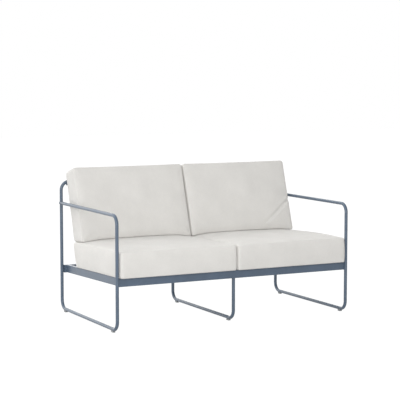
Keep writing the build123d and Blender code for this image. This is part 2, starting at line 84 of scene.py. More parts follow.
def linear(colour: str) -> tuple[float, float, float, float]:
    """Turn an sRGB hex colour into linear light.

    Args:
        colour: six hex digits, as in "5f6e80".

    Returns:
        Red, green and blue in linear light, and an alpha of 1.
    """
    srgb = np.array([int(colour[i : i + 2], 16) for i in (0, 2, 4)]) / 255
    light = np.where(srgb <= 0.04045, srgb / 12.92, ((srgb + 0.055) / 1.055) ** 2.4)
    return (*light.tolist(), 1.0)


def feed(tree: Tree, made: bpy.types.Node, inputs: Inputs) -> None:
    """Set a node's inputs to their values, or link them to the outputs that feed them.

    Args:
        tree: the node tree.
        made: one of its nodes.
        inputs: the node's inputs.
    """
    for key, value in inputs.items():
        if isinstance(value, Socket):
            tree.links.new(value, made.inputs[key])
        else:
            made.inputs[key].default_value = value


def node(tree: Tree, kind: str, inputs: Inputs | None = None, **settings: object) -> bpy.types.Node:
    """Add one node.

    Args:
        tree: the node tree that gets the node.
        kind: the node's type, without the ShaderNode prefix.
        inputs: its inputs.
        settings: its own properties.

    Returns:
        The new node.
    """
    made = tree.nodes.new("ShaderNode" + kind)
    for key, value in settings.items():
        setattr(made, key, value)
    feed(tree, made, inputs or {})
    return made


def fresh_tree(owner: bpy.types.Material | bpy.types.World) -> Tree:
    """Switch a material or a world to nodes and empty its tree.

    Args:
        owner: the material or the world.

    Returns:
        Its node tree.
    """
    owner.use_nodes = True
    owner.node_tree.nodes.clear()
    return owner.node_tree


def arithmetic(tree: Tree, operation: str, *terms: Socket | float) -> Socket:
    """Combine outputs and numbers in one Math node and return its output."""
    return node(tree, "Math", dict(enumerate(terms)), operation=operation).outputs[0]


def mapped(
    tree: Tree,
    value: Socket,
    to: tuple[float | Socket, float],
    within: tuple[float, float] = (0.0, 1.0),
    easing: str = "LINEAR",
) -> Socket:
    """Map a value from one range onto another, clamped.

    Args:
        tree: the node tree that gets the node.
        value: the output to map.
        to: what the ends of its range become.
        within: the ends of its range.
        easing: how it runs between them.

    Returns:
        The mapped value's output.
    """
    ends = {"From Min": within[0], "From Max": within[1], "To Min": to[0], "To Max": to[1]}
    inputs = {"Value": value, **ends}
    return node(tree, "MapRange", inputs, interpolation_type=easing).outputs["Result"]


def noise(
    tree: Tree, place: Socket, size: float, detail: float, roughness: float = 0.5
) -> Socket:
    """Soft noise from 0 to 1, its patches a size wide and finer layers in each."""
    inputs = {"Vector": place, "Scale": 1 / size, "Detail": detail, "Roughness": roughness}
    return node(tree, "TexNoise", inputs).outputs["Fac"]


def mottled(
    tree: Tree, drift: Socket, tones: tuple[str, str], ends: tuple[float, float] = (0.3, 0.7)
) -> Socket:
    """Colour that drifts between two tones.

    Args:
        tree: the material's node tree.
        drift: the pattern, from 0 to 1.
        tones: sRGB hex of the darker and of the lighter tone.
        ends: where in the pattern the dark tone ends and where the light one starts.

    Returns:
        The colour's output.
    """
    ramp = node(tree, "ValToRGB", {"Fac": drift})
    for stop, end, tone in zip(ramp.color_ramp.elements, ends, tones):
        stop.position = end
        stop.color = linear(tone)
    return ramp.outputs["Color"]


def relief(tree: Tree, height: Socket, strength: float, distance: float) -> Socket:
    """Normals of a fine relief: how far it bends the light, and how high it stands."""
    inputs = {"Strength": strength, "Distance": distance, "Height": height}
    return node(tree, "Bump", inputs).outputs["Normal"]


@dataclass(frozen=True)
class Finish:
    """A finish of one real material: its name, colour and roughness."""

    name: str
    colour: str
    roughness: float
    metallic: float = 0.0
    ior: float = 1.5

    def surface(self, tree: Tree) -> Inputs:
        """What the finish feeds to its shader. The plain finish has no pattern."""
        return {}

    def gloss(self, tree: Tree, drift: Socket, spread: float) -> Socket:
        """Roughness that drifts about its mean, by a spread to each side."""
        return mapped(tree, drift, (self.roughness - spread, self.roughness + spread))

    def material(self) -> bpy.types.Material:
        """Build the material, or return it if it was built before.

        Returns:
            The finish as a node material.
        """
        if self.name in bpy.data.materials:
            return bpy.data.materials[self.name]
        made = bpy.data.materials.new(self.name)
        tree = fresh_tree(made)
        plain = {
            "Base Color": linear(self.colour),
            "Roughness": self.roughness,
            "Metallic": self.metallic,
            "IOR": self.ior,
        }
        shader = node(tree, "BsdfPrincipled", plain)
        feed(tree, shader, self.surface(tree))
        node(tree, "OutputMaterial", {"Surface": shader.outputs[0]})
        return made


@dataclass(frozen=True)
class PowderCoat(Finish):
    """Polyester powder coat, baked: a satin film with a faint orange peel and handling marks."""

    tones: tuple[str, str] = ("4a596a", "516174")
    patch: float = 90 * MM
    peel: float = 2.2 * MM
    peel_height: float = 0.03 * MM
    peel_strength: float = 0.5
    roughness_spread: float = 0.08
    coat: float = 0.3
    coat_roughness: float = 0.22

    def surface(self, tree: Tree) -> Inputs:
        """Drift the tone a little, spread the gloss and raise the orange peel.

        Args:
            tree: the material's node tree.

        Returns:
            What feeds the shader.
        """
        place = node(tree, "TexCoord").outputs["Object"]
        drift = noise(tree, place, self.patch, detail=3.0, roughness=0.55)
        smear = noise(tree, place, self.patch, detail=5.0)
        peel = noise(tree, place, self.peel, detail=1.0)
        return {
            "Base Color": mottled(tree, drift, self.tones),
            "Roughness": self.gloss(tree, smear, self.roughness_spread),
            "Normal": relief(tree, peel, self.peel_strength, self.peel_height),
            "Coat Weight": self.coat,
            "Coat Roughness": self.coat_roughness,
        }


@dataclass(frozen=True)
class WovenCloth(Finish):
    """Acrylic canvas in plain weave: matt, with slubs along both thread directions.

    The real threads are 0.5 mm apart. They are drawn coarser here, so that the weave still
    shows as a grain from a step away.
    """

    tones: tuple[str, str] = ("d8d6d2", "e0deda")
    thread: float = 1.6 * MM
    thread_height: float = 0.22 * MM
    thread_strength: float = 0.6
    slub: float = 22 * MM
    slub_shade: float = 0.965
    slub_range: tuple[float, float] = (0.3, 0.7)
    patch: float = 160 * MM
    sheen: float = 0.12
    sheen_roughness: float = 0.5

    def surface(self, tree: Tree) -> Inputs:
        """Weave warp over weft by the piece's own panel map, and tint single threads.

        Args:
            tree: the material's node tree.

        Returns:
            What feeds the shader.
        """
        place = node(tree, "UVMap", uv_map="panel").outputs["UV"]
        turn = 2 * np.pi / self.thread
        parts = node(tree, "SeparateXYZ", {"Vector": place})
        warp, weft = [
            arithmetic(tree, "SINE", arithmetic(tree, "MULTIPLY", parts.outputs[axis], turn))
            for axis in ("X", "Y")
        ]
        weave = arithmetic(tree, "MULTIPLY", warp, weft)
        drift = noise(tree, place, self.patch, detail=3.0, roughness=0.55)
        tone = mottled(tree, drift, self.tones)
        for across, along in ((self.thread, self.slub), (self.slub, self.thread)):
            scale = (1 / across, 1 / along, 1.0)
            drawn = node(tree, "Mapping", {"Scale": scale, "Vector": place}).outputs["Vector"]
            slubs = noise(tree, drawn, size=1.0, detail=2.0)
            shade = mapped(tree, slubs, (self.slub_shade, 1.0), self.slub_range)
            tinted = node(tree, "VectorMath", {0: tone, 1: shade}, operation="MULTIPLY")
            tone = tinted.outputs["Vector"]
        return {
            "Base Color": tone,
            "Normal": relief(tree, weave, self.thread_strength, self.thread_height),
            "Sheen Weight": self.sheen,
            "Sheen Roughness": self.sheen_roughness,
        }


@dataclass(frozen=True)
class Moulded(Finish):
    """Injection-moulded plastic: even colour with a fine spark-eroded grain and scuffs."""

    tones: tuple[str, str] = ("86898b", "949799")
    grain: float = 1.2 * MM
    grain_height: float = 0.04 * MM
    grain_strength: float = 0.4
    scuff: float = 14 * MM

    def surface(self, tree: Tree) -> Inputs:
        """Mottle the colour with scuffs and raise the mould's grain.

        Args:
            tree: the material's node tree.

        Returns:
            What feeds the shader.
        """
        place = node(tree, "TexCoord").outputs["Object"]
        scuffs = noise(tree, place, self.scuff, detail=5.0, roughness=0.55)
        grain = node(tree, "TexVoronoi", {"Scale": 1 / self.grain, "Vector": place})
        height = grain.outputs["Distance"]
        return {
            "Base Color": mottled(tree, scuffs, self.tones),
            "Normal": relief(tree, height, self.grain_strength, self.grain_height),
        }


@dataclass(frozen=True)
class PlatedSteel(Finish):
    """Zinc-plated steel: a grey metal whose gloss varies in fine streaks."""

    streak: float = 1.5 * MM
    streak_stretch: float = 8.0
    roughness_spread: float = 0.1

    def surface(self, tree: Tree) -> Inputs:
        """Vary the gloss along one direction, as rolled and plated steel does.

        Args:
            tree: the material's node tree.

        Returns:
            What feeds the shader.
        """
        place = node(tree, "TexCoord").outputs["Object"]
        scale = (1.0, 1.0, self.streak_stretch)
        drawn = node(tree, "Mapping", {"Scale": scale, "Vector": place}).outputs["Vector"]
        streaks = noise(tree, drawn, self.streak, detail=3.0)
        return {"Roughness": self.gloss(tree, streaks, self.roughness_spread)}


@dataclass(frozen=True)
class FineTape(Finish):
    """Woven polyester tape or cut foam: a soft matt grain on Object coordinates."""

    tones: tuple[str, str] = ("cfcdc8", "dad8d3")
    grain: float = 0.8 * MM
    grain_height: float = 0.08 * MM
    grain_strength: float = 0.5
    grains_a_patch: float = 4.0

    def surface(self, tree: Tree) -> Inputs:
        """Mottle the colour finely and raise the grain with it.

        Args:
            tree: the material's node tree.

        Returns:
            What feeds the shader.
        """
        place = node(tree, "TexCoord").outputs["Object"]
        width = self.grain * self.grains_a_patch
        patches = noise(tree, place, width, detail=3.0, roughness=0.55)
        grain = noise(tree, place, self.grain, detail=1.0)
        return {
            "Base Color": mottled(tree, patches, self.tones),
            "Normal": relief(tree, grain, self.grain_strength, self.grain_height),
        }


class Slot(Enum):
    """The record's material slots, each with its finish."""

    FRAME_PAINT = PowderCoat("powder_coat_slate", "4e5d6f", 0.35)
    CAP_PLASTIC = Moulded("moulded_cap_slate", "4e5d6f", 0.5, tones=("4a596a", "526275"))
    GLIDE_PLASTIC = Moulded("moulded_glide_grey", "8d9092", 0.5)
    SCREW_STEEL = PlatedSteel("zinc_plated_steel", "b4b6b8", 0.35, 1.0)
    CUSHION_FABRIC = WovenCloth("acrylic_canvas_off_white", "dddbd7", 0.9)
    CUSHION_FOAM = FineTape("cut_foam", "d9d2bd", 0.95, tones=("d2cab2", "dcd5c2"))
    ZIP_TAPE = FineTape("woven_zip_tape", "d6d4cf", 0.85)
    ZIP_METAL = PlatedSteel("nickel_plated_zip", "c2c0bb", 0.28, 1.0)

    @property
    def label(self) -> str:
        """The slot's name in the record."""
        return self.name.lower()


def rows_of(mesh: bpy.types.Mesh, what: str = "co") -> np.ndarray:
    """The mesh's vertices as rows.

    Args:
        mesh: the mesh.
        what: "co" for their places, "normal" for their normals.

    Returns:
        One row for each vertex.
    """
    rows = np.empty(len(mesh.vertices) * 3)
    mesh.vertices.foreach_get(what, rows)
    return rows.reshape(-1, 3)


def unit_rows(rows: np.ndarray) -> np.ndarray:
    """Bring each row to length 1."""
    return rows / np.linalg.norm(rows, axis=1, keepdims=True)


def linked(name: str, data: bpy.types.ID) -> bpy.types.Object:
    """Make an object and link it to the scene.

    Args:
        name: its name.
        data: its mesh, camera or lamp.

    Returns:
        The new object.
    """
    made = bpy.data.objects.new(name, data)
    bpy.context.scene.collection.objects.link(made)
    return made


def mesh_piece(
    name: str, points: np.ndarray, faces: np.ndarray, slot: Slot, body: str
) -> bpy.types.Object:
    """Put arrays into a mesh object that rides on a body and wears a finish.

    Args:
        name: the piece's name.
        points: vertices in metres, one row each.
        faces: vertex numbers of the quads or triangles, one row each.
        slot: the material slot whose finish it wears.
        body: the moving body that it rides on.

    Returns:
        The new object.
    """
    mesh = bpy.data.meshes.new(name)
    mesh.from_pydata(points.tolist(), [], faces.tolist())
    mesh.polygons.foreach_set("use_smooth", np.full(len(mesh.polygons), True))
    mesh.materials.append(slot.value.material())
    mesh.update()
    made = linked(name, mesh)
    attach(made, body)
    LOG.info("%s: %d faces on %s", name, len(faces), body)
    return made


def ring_faces(rings: int, sides: int) -> np.ndarray:
    """Quads between successive rings of vertices.

    Args:
        rings: number of rings, one after another.
        sides: vertices in each ring, which closes on itself.

    Returns:
        Vertex numbers of the quads, facing outwards where each ring turns left about its path.
    """
    ring, side = np.meshgrid(np.arange(rings - 1), np.arange(sides), indexing="ij")
    first = ring * sides + side
    second = ring * sides + (side + 1) % sides
    return np.stack([first, second, second + sides, first + sides], -1).reshape(-1, 4)


@dataclass
class Studio:
    """White studio: camera at the photograph's place, pale floor, sky and one soft lamp."""

    eye: tuple[float, float, float] = (-3.6176, -7.04345, 1.4186)
    yaw: float = 27.04
    pitch: float = 5.46
    lens: float = 122.085
    floor_size: float = 40.0
    floor_drop: float = 0.2 * MM
    bright_way: tuple[float, float, float] = (-0.45, 0.88, 0.05)
    bright_from: float = -0.5
    sky_dim: float = 0.38
    sky_bright: float = 2.0
    floor_colour: str = "c4c4c4"
    floor_gloss_from: float = -3.5
    floor_gloss_to: float = 1.5
    floor_white: float = 0.9
    floor_glow: float = 1.12
    key_place: tuple[float, float, float] = (-2.4, -5.4, 2.0)
    key_aim: tuple[float, float, float] = (0.0, 0.0, 0.4)
    key_size: float = 4.0
    key_watts: float = 220.0

    def place_camera(self) -> None:
        """Set the camera where the photograph was taken, level and unshifted."""
        data = bpy.data.cameras.new("camera")
        data.lens = self.lens
        data.clip_end = 2 * self.floor_size
        camera = linked("camera", data)
        camera.location = self.eye
        camera.rotation_euler = (np.radians(90 - self.pitch), 0.0, -np.radians(self.yaw))
        bpy.context.scene.camera = camera

    def paint_sky(self) -> None:
        """Light the scene from a sky that is bright behind the loveseat's left and dim before it.

        The camera sees it as plain white.
        """
        world = bpy.data.worlds.new("sky")
        bpy.context.scene.world = world
        tree = fresh_tree(world)
        way = node(tree, "TexCoord").outputs["Generated"]
        slope = node(tree, "VectorMath", {0: way, 1: self.bright_way}, operation="DOT_PRODUCT")
        ends, within = (self.sky_dim, self.sky_bright), (self.bright_from, 1.0)
        glow = mapped(tree, slope.outputs["Value"], ends, within, "SMOOTHSTEP")
        strength = mapped(tree, node(tree, "LightPath").outputs["Is Camera Ray"], (glow, 1.0))
        light = node(tree, "Background", {"Color": WHITE, "Strength": strength})
        node(tree, "OutputWorld", {"Surface": light.outputs[0]})

    def direct_rays(self, tree: Tree) -> Socket:
        """How white the floor is to a ray: 1 to the camera and through glass, 0 to lighting rays.

        To gloss it is white behind the loveseat and fades out towards the camera.

        Args:
            tree: the floor's node tree.

        Returns:
            The share's output.
        """
        ray = node(tree, "LightPath").outputs
        place = node(tree, "TexCoord").outputs["Object"]
        run = node(tree, "SeparateXYZ", {"Vector": place}).outputs["Y"]
        fade = mapped(tree, run, (0.0, 1.0), (self.floor_gloss_from, self.floor_gloss_to))
        gloss = arithmetic(tree, "MULTIPLY", ray["Is Glossy Ray"], fade)
        clear = arithmetic(tree, "MAXIMUM", gloss, ray["Is Transmission Ray"])
        return arithmetic(tree, "MAXIMUM", clear, ray["Is Camera Ray"])

    def lay_floor(self) -> None:
        """Lay a pale floor that looks white but keeps a trace of the object's shadow."""
        half = self.floor_size / 2
        sides = ((-half, -half), (half, -half), (half, half), (-half, half))
        mesh = bpy.data.meshes.new("floor")
        mesh.from_pydata([(x, y, -self.floor_drop) for x, y in sides], [], [(0, 1, 2, 3)])
        paint = bpy.data.materials.new("studio_floor")
        tree = fresh_tree(paint)
        matt = node(tree, "BsdfDiffuse", {"Color": linear(self.floor_colour)})
        white = node(tree, "Emission", {"Color": WHITE, "Strength": self.floor_glow})
        share = arithmetic(tree, "MULTIPLY", self.direct_rays(tree), self.floor_white)
        mixed = node(tree, "MixShader", {0: share, 1: matt.outputs[0], 2: white.outputs[0]})
        node(tree, "OutputMaterial", {"Surface": mixed.outputs[0]})
        mesh.materials.append(paint)
        linked("floor", mesh)

    def hang_lamp(self) -> None:
        """Hang a square soft lamp that points at the middle of the loveseat."""
        data = bpy.data.lights.new("key_lamp", "AREA")
        data.energy = self.key_watts
        data.size = self.key_size
        lamp = linked("key_lamp", data)
        way = np.array(self.key_aim) - np.array(self.key_place)
        turn = np.arctan2(way[1], way[0]) - np.pi / 2
        tilt = np.arccos(-way[2] / np.linalg.norm(way))
        lamp.location = self.key_place
        lamp.rotation_euler = (tilt, 0.0, turn)

    def build(self) -> None:
        """Set up the camera, the sky, the floor and the lamp."""
        self.place_camera()
        self.paint_sky()
        self.lay_floor()
        self.hang_lamp()
        bpy.context.scene.view_settings.view_transform = "Standard"


def box_shell(stations: tuple[np.ndarray, ...]) -> tuple[np.ndarray, np.ndarray, np.ndarray]:
    """Closed grid on the six sides of a box.

    Args:
        stations: rising positions of the grid lines along each of the three axes.

    Returns:
        The points, the quads, and for each quad the axis that its side is square to.
    """
    counts = [len(row) for row in stations]
    index = np.stack(np.meshgrid(*[np.arange(n) for n in counts], indexing="ij"), -1)
    last = np.array(counts) - 1
    shell = ((index == 0) | (index == last)).any(-1)
    number = np.full(counts, -1)
    number[shell] = np.arange(shell.sum())
    points = np.stack([row[index[shell][:, axis]] for axis, row in enumerate(stations)], 1)
    quads, sides = [], []
    for axis in range(3):
        for end in (0, -1):
            sheet = np.take(number, end, axis=axis)
            quad = np.stack([sheet[:-1, :-1], sheet[1:, :-1], sheet[1:, 1:], sheet[:-1, 1:]], -1)
            quad = quad.reshape(-1, 4)
            turned = (end == 0) != (axis == 1)
            quads.append(quad[:, ::-1] if turned else quad)
            sides.append(np.full(len(quad), axis))
    return points, np.concatenate(quads), np.concatenate(sides)


def grid_lines(
    length: float, cell: float, fine: tuple[float, ...], marks: list[float]
) -> np.ndarray:
    """Positions of grid lines: fine near both ends and at marks, even between.

    Args:
        length: from the first line to the last.
        cell: the even spacing aimed at.
        fine: distances of the fine lines from each end.
        marks: places that need a line of their own.

    Returns:
        The rising positions.
    """
    lines = [0, *fine, *marks, *(length - d for d in fine), length]
    fixed = np.unique(np.round(lines, GRID_DIGITS))
    rows = []
    for low, high in zip(fixed[:-1], fixed[1:]):
        steps = max(1, int(round((high - low) / cell)))
        rows.append(np.linspace(low, high, steps, endpoint=False))
    return np.append(np.concatenate(rows), length)


def surface_height(places: np.ndarray, fields: list[HeightField]) -> np.ndarray:
    """Highest of a few height fields at places in plan, read between their grid lines.

    Args:
        places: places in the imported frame.
        fields: the height fields. Each reaches half a cell past its sides.

    Returns:
        The height at each place, minus infinity where no field reaches it in X.
    """
    top = np.full(len(places), -np.inf)
    for across, along, height in fields:
        column = np.clip(np.searchsorted(across, places[:, 0]) - 1, 0, len(across) - 2)
        row = np.clip(np.searchsorted(along, places[:, 1]) - 1, 0, len(along) - 2)
        u = (places[:, 0] - across[column]) / (across[column + 1] - across[column])
        v = (places[:, 1] - along[row]) / (along[row + 1] - along[row])
        inside = (u >= -0.5) & (u <= 1.5)
        u, v = np.clip(u, 0, 1), np.clip(v, 0, 1)
        low = height[column, row] * (1 - u) + height[column + 1, row] * u
        high = height[column, row + 1] * (1 - u) + height[column + 1, row + 1] * u
        top = np.maximum(top, np.where(inside, low * (1 - v) + high * v, -np.inf))
    return top


@dataclass
class Crease:
    """A soft fold pressed into a cushion's face, between two places from the face's middle."""

    start: tuple[float, float]
    end: tuple[float, float]
    depth: float = 9 * MM
    width: float = 8 * MM
    lip_share: float = 0.6
    start_run: float = 6.0

    def press(self, across: np.ndarray, up: np.ndarray) -> np.ndarray:
        """How far each point of the face sinks.

        A Gaussian valley about the line from start to end, with low lips beside it, which fades
        along its length.

        Args:
            across: the points' places across the face.
            up: the points' places up the face.

        Returns:
            The sinking of each point, negative on the lips.
        """
        first, second = np.array(self.start), np.array(self.end)
        along = second - first
        length = np.linalg.norm(along)
        along = along / length
        offset = np.stack([across, up], -1) - first
        run = offset @ along / length
        side = offset @ np.array([-along[1], along[0]]) / self.width
        fade = np.sqrt(np.clip(1 - run, 0, 1)) * np.clip(1 + self.start_run * run, 0, 1)
        valley = (1 - self.lip_share * side**2) * np.exp(-0.5 * side**2)
        return self.depth * fade * valley


# Cloth settings of a stuffed cover: light pressure against stiff canvas
STUFFING = {
    "use_pressure": True,
    "uniform_pressure_force": 1.5,
    "quality": 5,
    "tension_stiffness": 30.0,
    "compression_stiffness": 30.0,
    "shear_stiffness": 12.0,
    "bending_stiffness": 1.5,
}


@dataclass
class Cushion:
    """Boxed cushion of woven cloth: crowned face, drawn-in sides, welted seams and a zip.

    It is built in its own frame: X across, Y from its low side to its high side, Z from the
    face that rests out to the crowned face.
    """

    name: str
    lean: float
    shear: tuple[float, float]
    thickness: float
    rests_high: bool
    fill: float
    seed: int
    creases: list[Crease] = field(default_factory=list)
    cell: float = 10 * MM
    corner: float = 18 * MM
    edge: float = 8 * MM
    seam_lines: tuple[float, ...] = (2.5 * MM, 6 * MM, 12 * MM)
    pull: float = 1.5 * MM
    bulge: float = 2.2 * MM
    band_power: int = 8
    face_power: int = 6
    shoulder_share: float = 0.45
    shoulder_reach: float = 8 * MM
    crown_reach: float = 130 * MM
    welt: float = 0.9 * MM
    zip_margin: float = 60 * MM
    zip_width: float = 16 * MM
    zip_depth: float = 5.2 * MM
    zip_lip: float = 1.2 * MM
    seam_width: float = 3 * MM
    seam_hold: float = 0.8
    swell_frames: int = 20
    swell_cap: float = 6 * MM
    wander: float = 0.9 * MM
    waves: int = 6
    wave_turns: tuple[float, float] = (4.0, 13.0)
    rest_gap: float = 0.4 * MM
    give: float = 24 * MM
    give_reach: float = 130 * MM
    settle_passes: int = 8
    reach_limit: float = 719.4 * MM
    split_limit: float = 0.7 * MM

    def axes(self) -> np.ndarray:
        """The cushion's own axes as rows, turned by its lean about X."""
        c, s = np.cos(self.lean), np.sin(self.lean)
        return np.array([[1.0, 0.0, 0.0], [0.0, c, s], [0.0, -s, c]])

    def own(self, places: np.ndarray) -> np.ndarray:
        """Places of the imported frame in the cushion's own."""
        return places @ self.axes().T - self.origin

    def packed(self, own: np.ndarray) -> np.ndarray:
        """Places of the cushion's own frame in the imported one."""
        return (own + self.origin) @ self.axes()

    def measure(self) -> None:
        """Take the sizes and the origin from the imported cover."""
        own = rows_of(bpy.data.objects[f"{self.name}_cover"].data) @ self.axes().T
        low, high = own.min(0), own.max(0)
        self.half = (high[0] - low[0]) / 2
        self.crown = high[2] - low[2] - self.thickness
        grow = (self.shear[1] - self.shear[0]) * self.thickness
        self.depth = high[1] - low[1] - grow
        start = low[1] - min(0.0, self.shear[0] * self.thickness)
        self.origin = np.array([(low[0] + high[0]) / 2, start, low[2]])

    def recess_lines(self, middle: float, half: float) -> list[float]:
        """Grid lines at both sides of the zip's recess, and on its lips."""
        lips = (0.0, self.zip_lip)
        return [middle + side * (half + lip) for side in (-1, 1) for lip in lips]

    def flat_box(self) -> tuple[np.ndarray, np.ndarray, np.ndarray]:
        """The cut panels as a box, with grid lines at the seams and round the zip.

        Returns:
            The points, the quads, and for each quad the axis that its side is square to.
        """
        ends = self.recess_lines(self.half, self.half - self.zip_margin)
        rows = self.recess_lines(self.thickness / 2, self.zip_width / 2)
        stations = (
            grid_lines(2 * self.half, self.cell, self.seam_lines, ends),
            grid_lines(self.depth, self.cell, self.seam_lines, []),
            grid_lines(self.thickness, self.cell, self.seam_lines, rows),
        )
        return box_shell(stations)

    def off_seam(self, flat: np.ndarray) -> np.ndarray:
        """Distance of places from the nearer seam.

        Args:
            flat: places on the cut panels.

        Returns:
            Each place's distance.
        """
        size = np.array([2 * self.half, self.depth])
        to_side = np.minimum(flat[:, :2], size - flat[:, :2]).min(1)
        to_face = np.minimum(flat[:, 2], self.thickness - flat[:, 2])
        return np.maximum(to_side, to_face)

    def on_rest_band(self, flat: np.ndarray) -> np.ndarray:
        """Which places of the cut panels lie on the band that meets its support."""
        return (self.depth - flat[:, 1] if self.rests_high else flat[:, 1]) < NEAR

    def rounded(self, flat: np.ndarray) -> np.ndarray:
        """Round the box's upright edges in plan and its seams in section.

        A point near an edge moves from the square onto the circle at the same greatest
        distance: in plan about the corner's centre, then in section about the seam's centre.

        Args:
            flat: points of the box, from zero.

        Returns:
            The rounded points, centred in X and in Y.
        """
        size = np.array([2 * self.half, self.depth])
        plan = flat[:, :2] - size / 2
        core = np.clip(plan, self.corner - size / 2, size / 2 - self.corner)
        out = plan - core
        reach = np.abs(out).max(1)
        spread = np.linalg.norm(out, axis=1)
        unit = out / np.maximum(spread, TINY)[:, None]
        height = flat[:, 2]
        upper = height > self.thickness / 2
        rise = np.where(upper, self.thickness - height, height)
        inward = np.maximum(0, self.edge - (self.corner - reach))
        upward = np.maximum(0, self.edge - rise)
        shrink = np.maximum(inward, upward) / np.maximum(np.hypot(inward, upward), TINY)
        reach = reach - inward * (1 - shrink)
        sink = upward * (1 - shrink)
        height = height + np.where(upper, -sink, sink)
        return np.column_stack([core + unit * reach[:, None], height])

    def swell(self, across: np.ndarray, along: np.ndarray) -> np.ndarray:
        """Share of the crown's height at places on the face, from 0 at the seams to 1.

        It is a product over both directions. In each, a short shoulder and a long slope, both
        1 - exp(-d / reach), rise with the distance d to the nearer side.

        Args:
            across: places across, from the middle.
            along: places along, from the middle.

        Returns:
            The share at each place.
        """
        share = 1.0
        for place, half in ((across, self.half), (along, self.depth / 2)):
            rise = []
            for inward in (np.maximum(half - np.abs(place), 0), half):
                shoulder = 1 - np.exp(-inward / self.shoulder_reach)
                slope = 1 - np.exp(-inward / self.crown_reach)
                rise.append(slope + self.shoulder_share * (shoulder - slope))
            share = share * rise[0] / rise[1]
        return share

    def shaped(self, flat: np.ndarray) -> np.ndarray:
        """Give the rounded box its crown, pulled-in sides, bulging bands, folds and zip recess.

        The sides pull in by a parabola along their length, and the bands bulge by a parabola
        over their height. A few long sine waves make the faces wander as stuffed cloth does.

        Args:
            flat: points of the box, from zero.

        Returns:
            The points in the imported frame.
        """
        round_points = self.rounded(flat)
        across = round_points[:, 0] / self.half
        along = round_points[:, 1] / (self.depth / 2)
        height = round_points[:, 2] / self.thickness
        own = round_points.copy()
        band = 1 - (2 * height - 1) ** 2
        free_end = -1.0 if self.rests_high else 1.0
        near_side = np.abs(across) ** self.band_power
        near_end = np.where(along * free_end > 0, np.abs(along) ** self.band_power, 0.0)
        side_push = self.bulge * band - self.pull * (1 - along**2)
        own[:, 0] += np.sign(across) * near_side * side_push
        end_push = self.bulge * band - self.pull * (1 - across**2)
        own[:, 1] += free_end * near_end * end_push
        swell = self.swell(own[:, 0], own[:, 1])
        top = np.clip(2 * height - 1, 0, 1) ** self.face_power
        own[:, 2] += top * swell * self.crown
        rng = np.random.default_rng(self.seed)
        for _ in range(self.waves):
            wave = rng.uniform(*self.wave_turns, 2)
            phase = rng.uniform(0, 2 * np.pi)
            ripple = np.sin(own[:, 0] * wave[0] + own[:, 1] * wave[1] + phase)
            own[:, 2] += top * swell * self.wander * ripple
        for crease in self.creases:
            own[:, 2] -= top * crease.press(own[:, 0], own[:, 1])
        own[:, 1] += self.depth / 2
        scale = 1 + (self.shear[1] - self.shear[0]) * own[:, 2] / self.depth
        own[:, 1] = self.shear[0] * own[:, 2] + own[:, 1] * scale
        return self.packed(self.recessed(flat, own))

    def face_height(self, mesh: bpy.types.Mesh, flat: np.ndarray) -> HeightField:
        """The finished face as a height field.

        Args:
            mesh: the cushion's mesh before its seams are raised.
            flat: each vertex's place on the cut panels.

        Returns:
            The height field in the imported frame.
        """
        face = flat[:, 2] > self.thickness - NEAR
        places = rows_of(mesh)[face]
        column, row = (
            np.unique(np.round(flat[face, axis], GRID_DIGITS), return_inverse=True)[1]
            for axis in (0, 1)
        )
        across = np.bincount(column, places[:, 0]) / np.bincount(column)
        along = np.bincount(row, places[:, 1]) / np.bincount(row)
        height = np.zeros((len(across), len(along)))
        height[column, row] = places[:, 2]
        return across, along, height

    def settle_onto(self, mesh: bpy.types.Mesh, seats: list[HeightField]) -> None:
        """Let the low end of a back cushion follow the crowned seats that it stands on.

        The underside moves along the back's lean onto the seats' height by at most the give. The
        move fades out up the cushion as (1 - y / reach) ** 2. Each pass reads the height at the
        moved places and takes half of what is missing.

        Args:
            mesh: the back cushion's mesh.
            seats: the height fields of the seat cushions.
        """
        places = rows_of(mesh)
        foot = (self.origin @ self.axes())[2]
        up = self.axes()[1]
        fade = np.clip(1 - self.own(places)[:, 1] / self.give_reach, 0, 1) ** 2
        step = fade[:, None] * up / up[2]
        sag = np.zeros(len(places))
        for _ in range(self.settle_passes):
            target = surface_height(places + sag[:, None] * step, seats) + self.rest_gap - foot
            sag += (np.clip(target, -self.give, self.give) - sag) / 2
        places += sag[:, None] * step
        mesh.vertices.foreach_set("co", places.ravel())

    def recessed(self, flat: np.ndarray, own: np.ndarray) -> np.ndarray:
        """Sink the strip of the resting band that holds the zip.

        Args:
            flat: each point's place on the cut panels.
            own: the points in the cushion's own frame.

        Returns:
            The points, those of the strip sunk.
        """
        strip = np.abs(flat[:, 2] - self.thickness / 2) < self.zip_width / 2 + NEAR
        run = np.abs(flat[:, 0] - self.half) < self.half - self.zip_margin + NEAR
        depth = np.where(self.on_rest_band(flat) & strip & run, self.zip_depth, 0.0)
        own[:, 1] += -depth if self.rests_high else depth
        return own

    def hold(self, flat: np.ndarray) -> np.ndarray:
        """How firmly the cloth is held: fully where the cushion rests, less at its seams.

        Args:
            flat: places on the cut panels.

        Returns:
            Each place's hold, from 0 to 1.
        """
        rests = (flat[:, 2] < NEAR) | self.on_rest_band(flat)
        seam = self.off_seam(flat) < self.seam_width
        return np.where(rests, 1.0, np.where(seam, self.seam_hold, 0.0))

